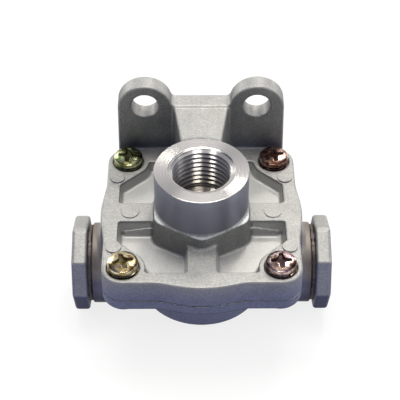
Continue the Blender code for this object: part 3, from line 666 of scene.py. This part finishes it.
def makeSupplyPort(s=supplyPort, columns=192):
    # The turned wall ends just under the casting's six-sided ledge
    top, wall, edge, ledge = s["top"], s["wall"], s["edge"], s["ledge"]
    mouth = s["root"] + s["chamfer"]
    lead = [
        (12.8, ledge - 0.05), (wall - 0.03, ledge - 0.05), (wall, ledge - 0.02), (wall, ledge + 0.3),
        (wall, top - 4), (wall, top - edge), (wall - edge * 0.3, top - edge * 0.3), (wall - edge, top),
        (wall - edge - 0.04, top), (wall - 1.5, top), (mouth + 1, top), (mouth + 0.06, top),
    ]
    tail = [(s["passage"], 31.1), (7.0, 31.1), (8.2, 32.3), (8.2, 37.0), (12.8, 43.0)]
    points, faces = portGrid(s, lead, tail, columns)
    finish = makeTurnedAluminium("turnedSupplyBoss", valveAxis, (0, 0, 1), top / 1000)
    addPiece("supplyBossTurned", points, faces, finish, "cover", sharp=28)


makeSupplyPort()

sidePort = {
    "top": 43.34, "root": 8.5, "threadDepth": 1.15, "pitch": 1.814, "threadLength": 10.5,
    "chamfer": 0.9, "chamferDepth": 0.9,
    "drill": 7.2, "drillDepth": 13.5, "passage": 4.75, "face": 12.4, "end": 17.0,
}
exhaustPort = dict(sidePort, top=0.04, threadLength=7.5, drillDepth=9.2, passage=5.25, face=11.7, end=-25.6)


def makePort(name, s, turn, replaced):
    # turn takes the port's own axes to the valve's
    top, mouth, face = s["top"], s["root"] + s["chamfer"], s["face"]
    wall = s["root"] + 1.3
    lead = [(wall, top - 1.6), (face, top - 0.4), (face, top - 0.06), (face - 0.06, top),
            (mouth + 0.06, top)]
    tail = [(s["passage"], s["end"]), (s["passage"] + 1, s["end"]),
            (s["passage"] + 1, top - s["drillDepth"] - 3),
            (wall, top - s["drillDepth"])]
    points, faces = portGrid(s, lead, tail, 128)
    points = points @ np.array(turn, float) + [0, 0, bodyShape["portHeight"] if s is sidePort else 0]
    centre = valveAxis + [0, 0, bodyShape["portHeight"] / 1000 if s is sidePort else 0]
    finish = makeTurnedAluminium(name + "Finish", centre, tuple(turn[2]), top / 1000)
    addPiece(name, points, faces, finish, replaced, sharp=28)


makePort("deliveryPortRight", sidePort, ((0, 1, 0), (0, 0, 1), (1, 0, 0)), "body")
makePort("deliveryPortLeft", sidePort, ((0, -1, 0), (0, 0, 1), (-1, 0, 0)), "body")
makePort("exhaustPortTurned", exhaustPort, ((1, 0, 0), (0, -1, 0), (0, 0, -1)), "body")


# Ejector pin marks: thin discs standing on the flange

markShape = {"columns": 40, "flange": 40.7, "pinRadius": 2.5, "pinHeight": 0.45, "ribRadius": 3.0,
             "ribHeight": 0.3}


def discGrid(x, y, radius, low, high, columns):
    angles = 2 * pi * np.arange(columns) / columns
    profile = np.array([(0, low), (radius, low), (radius, high - 0.1), (radius - 0.1, high),
                        (radius * 0.5, high),
                        (0, high)])
    grid = np.stack(np.broadcast_arrays(
        x + profile[:, :1] * np.cos(angles), y + profile[:, :1] * np.sin(angles), profile[:, 1:]), -1)
    return grid.reshape(-1, 3), gridFaces(len(profile), columns, closeRows=False)


def makeMarks(s=markShape):
    allPoints, allFaces, count = [], [], 0
    for x in (-1, 1):
        for y, centre, radius, height in (
            (-16.4, 28.4, s["pinRadius"], s["pinHeight"]), (16.4, 28.4, s["pinRadius"], s["pinHeight"]),
            (0.0, 23.6, s["ribRadius"], s["ribHeight"]),
        ):
            points, faces = discGrid(x * centre, y, radius, s["flange"] - 0.6, s["flange"] + height,
                                     s["columns"])
            allPoints.append(points)
            allFaces.append(faces + count)
            count += len(points)
    addPiece("ejectorPinMarks", np.concatenate(allPoints), np.concatenate(allFaces), castAluminium,
             "cover", sharp=30)


makeMarks()


# Screws and their spring washers

screwShape = {
    "headRadius": 4.9, "headHeight": 2.5, "sideHeight": 1.45, "crown": 2.5, "low": 41.4,
    "shank": 2.5, "length": 14.0, "pitch": 0.8, "threadDepth": 0.4,
    "recessReach": 3.4, "recessHalf": 1.15, "recessTaper": 0.14, "recessFlare": 0.7, "recessDepth": 1.7,
    "recessWall": 0.35,
}
# the recess colour of each screw is painted shade
screws = (
    {"name": "FrontLeft", "x": -25, "y": -25, "turn": 17, "washer": 62,
     "colours": ("#503A20", "#927E50", "#DED2B2", "#9A865C", "#4A3428"), "recessShade": "#483A0A",
     "shift": (0.0, 0.0, 0.0)},
    {"name": "FrontRight", "x": 25, "y": -25, "turn": 3, "washer": 301,
     "colours": ("#3C2820", "#7C6054", "#DCC6BE", "#8C7074", "#463A4A"), "recessShade": "#26100A",
     "shift": (0.02, 0.01, 0.0)},
    {"name": "BackLeft", "x": -25, "y": 25, "turn": -6, "washer": 145,
     "colours": ("#40421E", "#7C7E4A", "#CCCE9E", "#6A8254", "#34462C"), "recessShade": "#222E06",
     "shift": (0.0, 0.03, 0.01)},
    {"name": "BackRight", "x": 25, "y": 25, "turn": 12, "washer": 228,
     "colours": ("#402A22", "#7C5A4A", "#C8AA9C", "#7E5E54", "#42322E"), "recessShade": "#341408",
     "shift": (0.05, 0.0, 0.02)},
)


def makeScrew(item, number, s=screwShape, columns=144):
    # The head is a height over radius and angle: a rounded crown less a star recess. Below it a profile
    # runs down the side and the threaded shank to the tip.
    angles = 2 * pi * np.arange(columns) / columns
    reach = s["headRadius"] * np.sqrt(np.linspace(0, 1, 62))[:, None]
    crown = s["sideHeight"] + (s["headHeight"] - s["sideHeight"]) * np.sqrt(
        np.maximum(1 - (reach / s["headRadius"]) ** s["crown"], 0))
    turned = angles - radians(item["turn"])
    u, v = np.abs(reach * np.cos(turned)), np.abs(reach * np.sin(turned))
    wide = np.maximum(u - s["recessReach"], v + s["recessTaper"] * u - s["recessHalf"])
    tall = np.maximum(v - s["recessReach"], u + s["recessTaper"] * v - s["recessHalf"])
    star = roundJoin(wide, tall, s["recessFlare"])
    fall = np.clip(-star / s["recessWall"], 0, 1)
    sink = s["recessDepth"] * (1 - 0.6 * reach / s["recessReach"]) * fall * fall * (3 - 2 * fall)
    sink = np.maximum(sink, 0)
    heights = [np.broadcast_to(row, columns) for row in crown - sink]
    radii = [np.broadcast_to(row, columns) for row in reach]
    for r, height in ((s["headRadius"], 0.4), (s["headRadius"] - 0.12, 0.12), (s["headRadius"] - 0.4, 0),
                      (s["shank"] + 0.3, 0), (s["shank"], -0.3)):
        radii.append(np.full(columns, r))
        heights.append(np.full(columns, float(height)))
    down = np.arange(0.8, s["length"] - 1, s["pitch"] / 8)[:, None]
    cut = s["shank"] - s["threadDepth"] * (1 - threadTooth(down / s["pitch"] + angles / (2 * pi)))
    radii += list(cut)
    heights += list(np.broadcast_to(-down, cut.shape))
    for r, height in ((s["shank"] * 0.7, -s["length"]), (0, -s["length"])):
        radii.append(np.full(columns, r))
        heights.append(np.full(columns, float(height)))
    radius, height = np.array(radii), np.array(heights)
    points = np.stack((item["x"] + radius * np.cos(angles), item["y"] + radius * np.sin(angles),
                       s["low"] + height), -1).reshape(-1, 3)
    finish = makeYellowZinc("yellowZinc" + item["name"], item["colours"], item["recessShade"], item["shift"])
    # The recess depth drives the painted shade in the recess
    hollow = np.zeros(radius.shape)
    hollow[:len(sink)] = sink / s["recessDepth"]
    addPiece("screw" + item["name"], points, gridFaces(len(radii), columns, closeRows=False), finish,
             f"cover_screw_{number}", sharp=40, values={"hollow": hollow})
    return finish


washerShape = {"inner": 2.85, "outer": 4.85, "thickness": 1.25, "low": 39.85, "gap": 9.0, "rise": 0.3}


def makeWasher(item, number, finish, s=washerShape, steps=96):
    # A rounded rectangle carried once round the screw while it climbs by the rise, open at the gap
    share = np.linspace(0, 1, steps)
    angles = radians(item["washer"]) + radians(s["gap"] / 2) + share * radians(360 - s["gap"])
    inner, outer, high, e = s["inner"], s["outer"], s["thickness"], 0.15
    section = np.array([
        (inner + e, 0), (outer - e, 0), (outer, e), (outer, high - e), (outer - e, high), (inner + e, high),
        (inner, high - e), (inner, e)])
    section = np.concatenate(([section.mean(0)] * 8, section, [section.mean(0)] * 8)).reshape(3, 8, 2)
    radius = np.broadcast_to(section[1][:, 0], (steps, 8))
    level = s["low"] + section[1][:, 1] + s["rise"] * (share[:, None] - 0.5)
    radius = np.concatenate((np.full((1, 8), radius.mean()), radius, np.full((1, 8), radius.mean())))
    level = np.concatenate((np.full((1, 8), level[0].mean()), level, np.full((1, 8), level[-1].mean())))
    angles = np.concatenate((angles[:1], angles, angles[-1:]))[:, None]
    points = np.stack((item["x"] + radius * np.cos(angles), item["y"] + radius * np.sin(angles), level), -1)
    addPiece("washer" + item["name"], points.reshape(-1, 3), gridFaces(steps + 2, 8, closeRows=False),
             finish,
             f"lock_washer_{number}", sharp=30)


for number, item in enumerate(screws, 1):
    makeWasher(item, number, makeScrew(item, number))


# Inside pieces keep their CAD shapes

mouldedRubber = makePlain("mouldedNitrileRubber", "#262626", "#161616", 0.0, 0.62, 0.5, 0.02)
springSteel = makePlain("drawnSpringSteel", "#8A8782", "#5E5C58", 1.0, 0.34, 0.3, 0.01)
for name, material in (
    ("diaphragm", mouldedRubber), ("cover_seal_ring", mouldedRubber),
    ("diaphragm_spring", springSteel), ("spring_seat", springSteel),
):
    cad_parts[name].data.materials.clear()
    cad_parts[name].data.materials.append(material)
print("inside pieces finished")


# Floor, light and camera

stageSettings = {
    "floor": "#F4F5F7", "floorReach": 3.0, "world": "#7684B8", "worldLevel": 0.34,
    "lamps": (
        ("backSoftbox", (-0.1, 1.1, 0.85), (1.6, 0.7), 0.9, "#FFFDF8"),
        ("sideSoftbox", (0.25, 0.7, 0.94), (0.14, 0.16), 30.0, "#FFFDF8"),
        ("topSoftbox", (0.0, 0.24, 1.25), (0.8, 0.5), 7.7, "#FFFEFA"),
        ("rightSoftbox", (0.78, -0.22, 0.42), (0.35, 0.3), 5.0, "#FFFFFF"),
        ("lowRightSoftbox", (0.75, 0.85, 0.28), (0.4, 0.3), 2.5, "#FFFFFF"),
        ("lowLeftSoftbox", (-0.75, 0.8, 0.4), (0.4, 0.3), 4.5, "#FFFFFF"),
    ),
    "floorLevel": 1.8, "whiteShare": 0.8,
    "strips": (
        ("rightStrip", (0.064, -0.242, 0.49), (0.15, 0.08), 22.0, "#FFFFFF"),
        ("leftStrip", (-0.222, -0.116, 0.49), (0.09, 0.08), 22.0, "#FFFFFF"),
    ),
    "screwStrips": (
        ("screwFill", (0.0, 0.2, 1.25), (0.8, 0.6), 0.8, "#FFEBC0"),
        ("screwStripRight", (0.24, 0.43, 0.45), (0.14, 0.18), 9.0, "#FFFFFF"),
        ("screwStripLeft", (-0.28, 0.43, 0.38), (0.1, 0.12), 10.0, "#FFFFFF"),
        ("screwStripFront", (0.02, -0.3, 0.68), (0.3, 0.06), 26.0, "#FFFFFF"),
    ),
    "notOnScrews": ("topSoftbox",),
}


def makeFloor(s=stageSettings):
    # Pale and matte. A share of it shows as plain white, which leaves the object's shadow pale.
    material, tree = newMaterial("matteFloor")
    matte = addNode(tree, "BsdfPrincipled", {"Base Color": linear(s["floor"]), "Roughness": 0.9,
                                             "Specular IOR Level": 0.1})
    white = addNode(tree, "Emission", {"Strength": 1.0})
    ray = addNode(tree, "LightPath")
    seen = addNode(tree, "Math", {"operation": "MAXIMUM"},
                   {0: ray.outputs["Is Camera Ray"], 1: ray.outputs["Is Glossy Ray"]})
    through = addNode(tree, "Math", {"operation": "MAXIMUM"},
                      {0: seen.outputs[0], 1: ray.outputs["Is Transmission Ray"]})
    share = addNode(tree, "Math", {"operation": "MULTIPLY", 1: s["whiteShare"]}, {0: through.outputs[0]})
    shader = addNode(tree, "MixShader",
                     links={0: share.outputs[0], 1: matte.outputs[0], 2: white.outputs[0]})
    addNode(tree, "OutputMaterial", links={"Surface": shader.outputs[0]})
    angles = 2 * pi * np.arange(96) / 96
    profile = np.array([(0.001, 0), (0.5, 0), (1.6, 0), (2.2, 0.08), (2.7, 0.4), (s["floorReach"], 1.2)])
    points = np.stack(np.broadcast_arrays(profile[:, :1] * np.cos(angles), profile[:, :1] * np.sin(angles),
                                          profile[:, 1:] - 0.0002), -1).reshape(-1, 3)
    mesh = bpy.data.meshes.new("floor")
    mesh.from_pydata(points.tolist(), [], gridFaces(len(profile), 96, closeRows=False).tolist())
    mesh.materials.append(material)
    mesh.shade_smooth()
    floor = bpy.data.objects.new("floor", mesh)
    bpy.context.scene.collection.objects.link(floor)


def addSoftbox(name, place, size, level, colour):
    # A rectangular lamp aimed at the valve; level is how bright its face is, where 1 is white
    light = bpy.data.lights.new(name, "AREA")
    light.shape = "RECTANGLE"
    light.size, light.size_y = size
    light.energy = level * pi * size[0] * size[1]
    light.color = linear(colour)[:3]
    lamp = bpy.data.objects.new(name, light)
    lamp.location = place
    lamp.rotation_euler = (Vector((0, 0, 0.04)) - Vector(place)).to_track_quat("-Z", "Y").to_euler()
    lamp.visible_camera = False
    bpy.context.scene.collection.objects.link(lamp)
    return lamp


def linkLight(lamp, names, state="INCLUDE"):
    # The lamp lights the named pieces only, or all but these
    chosen = bpy.data.collections.new(lamp.name + "Target")
    for name in names:
        chosen.objects.link(bpy.data.objects[name])
    lamp.light_linking.receiver_collection = chosen
    for item in chosen.collection_objects:
        item.light_linking.link_state = state


def makeStage(s=stageSettings):
    makeFloor()
    screwNames = ["screw" + item["name"] for item in screws]
    for name, place, size, level, colour in s["lamps"]:
        lamp = addSoftbox(name, place, size, level, colour)
        if name in s["notOnScrews"]:
            linkLight(lamp, screwNames, "EXCLUDE")
    floorLamp = addSoftbox("floorSoftbox", (0.0, -0.5, 1.3), (2.2, 1.4), s["floorLevel"], "#FFF4E0")
    linkLight(floorLamp, ["floor"])
    for name, place, size, level, colour in s["strips"]:
        linkLight(addSoftbox(name, place, size, level, colour), ["supplyBossTurned"])
    for name, place, size, level, colour in s["screwStrips"]:
        linkLight(addSoftbox(name, place, size, level, colour), screwNames)
    world = bpy.data.worlds.new("softFill")
    world.use_nodes = True
    background = world.node_tree.nodes["Background"]
    background.inputs["Color"].default_value = linear(s["world"])
    background.inputs["Strength"].default_value = s["worldLevel"]
    bpy.context.scene.world = world


cameraSettings = {"elevation": 43.67, "azimuth": -0.305, "distance": 0.38395, "lens": 110.83,
                  "target": (-0.000558, -0.01632, 0.0594)}


def makeCamera(s=cameraSettings):
    up, turn = radians(s["elevation"]), radians(s["azimuth"])
    back = Vector((sin(turn) * cos(up), -cos(turn) * cos(up), sin(up)))
    data = bpy.data.cameras.new("camera")
    data.sensor_width = 36.0
    data.lens = s["lens"]
    data.clip_start, data.clip_end = 0.01, 20.0
    camera = bpy.data.objects.new("camera", data)
    camera.location = Vector(s["target"]) + back * s["distance"]
    camera.rotation_euler = (-back).to_track_quat("-Z", "Y").to_euler()
    bpy.context.scene.collection.objects.link(camera)
    bpy.context.scene.camera = camera


makeStage()
makeCamera()
bpy.context.scene.view_settings.view_transform = "Standard"
print("stage and camera set")
